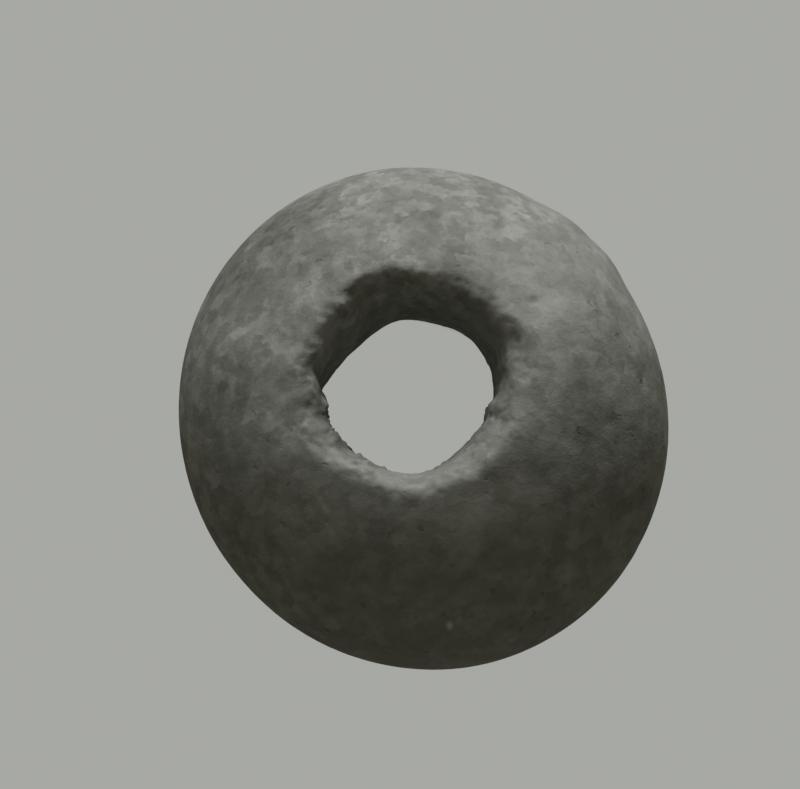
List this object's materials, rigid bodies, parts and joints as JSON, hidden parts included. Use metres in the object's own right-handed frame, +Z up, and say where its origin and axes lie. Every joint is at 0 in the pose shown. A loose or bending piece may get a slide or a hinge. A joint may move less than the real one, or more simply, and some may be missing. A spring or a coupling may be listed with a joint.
{
  "type": "stone spindle whorl",
  "caption": "Domed stone spindle whorl, flat below, with an hourglass shaft hole that slips over a spindle as its flywheel.",
  "frame": {"origin": "on the flat underside, below the middle of the whorl's outline, which stands about a millimetre beside the shaft hole's axis", "axes": "+Z up along the shaft hole, from the flat underside to the domed face; +Y along the outline's longer diameter; +X completes the right-handed frame"},
  "size_m": [0.0354, 0.037, 0.0144],
  "materials": {
    "stone": "ground and worn soft grey stone, matt, slightly mottled, rough pecked hole wall"
  },
  "bodies": {
    "root": {"whorl": "stone"}
  },
  "joints": []
}
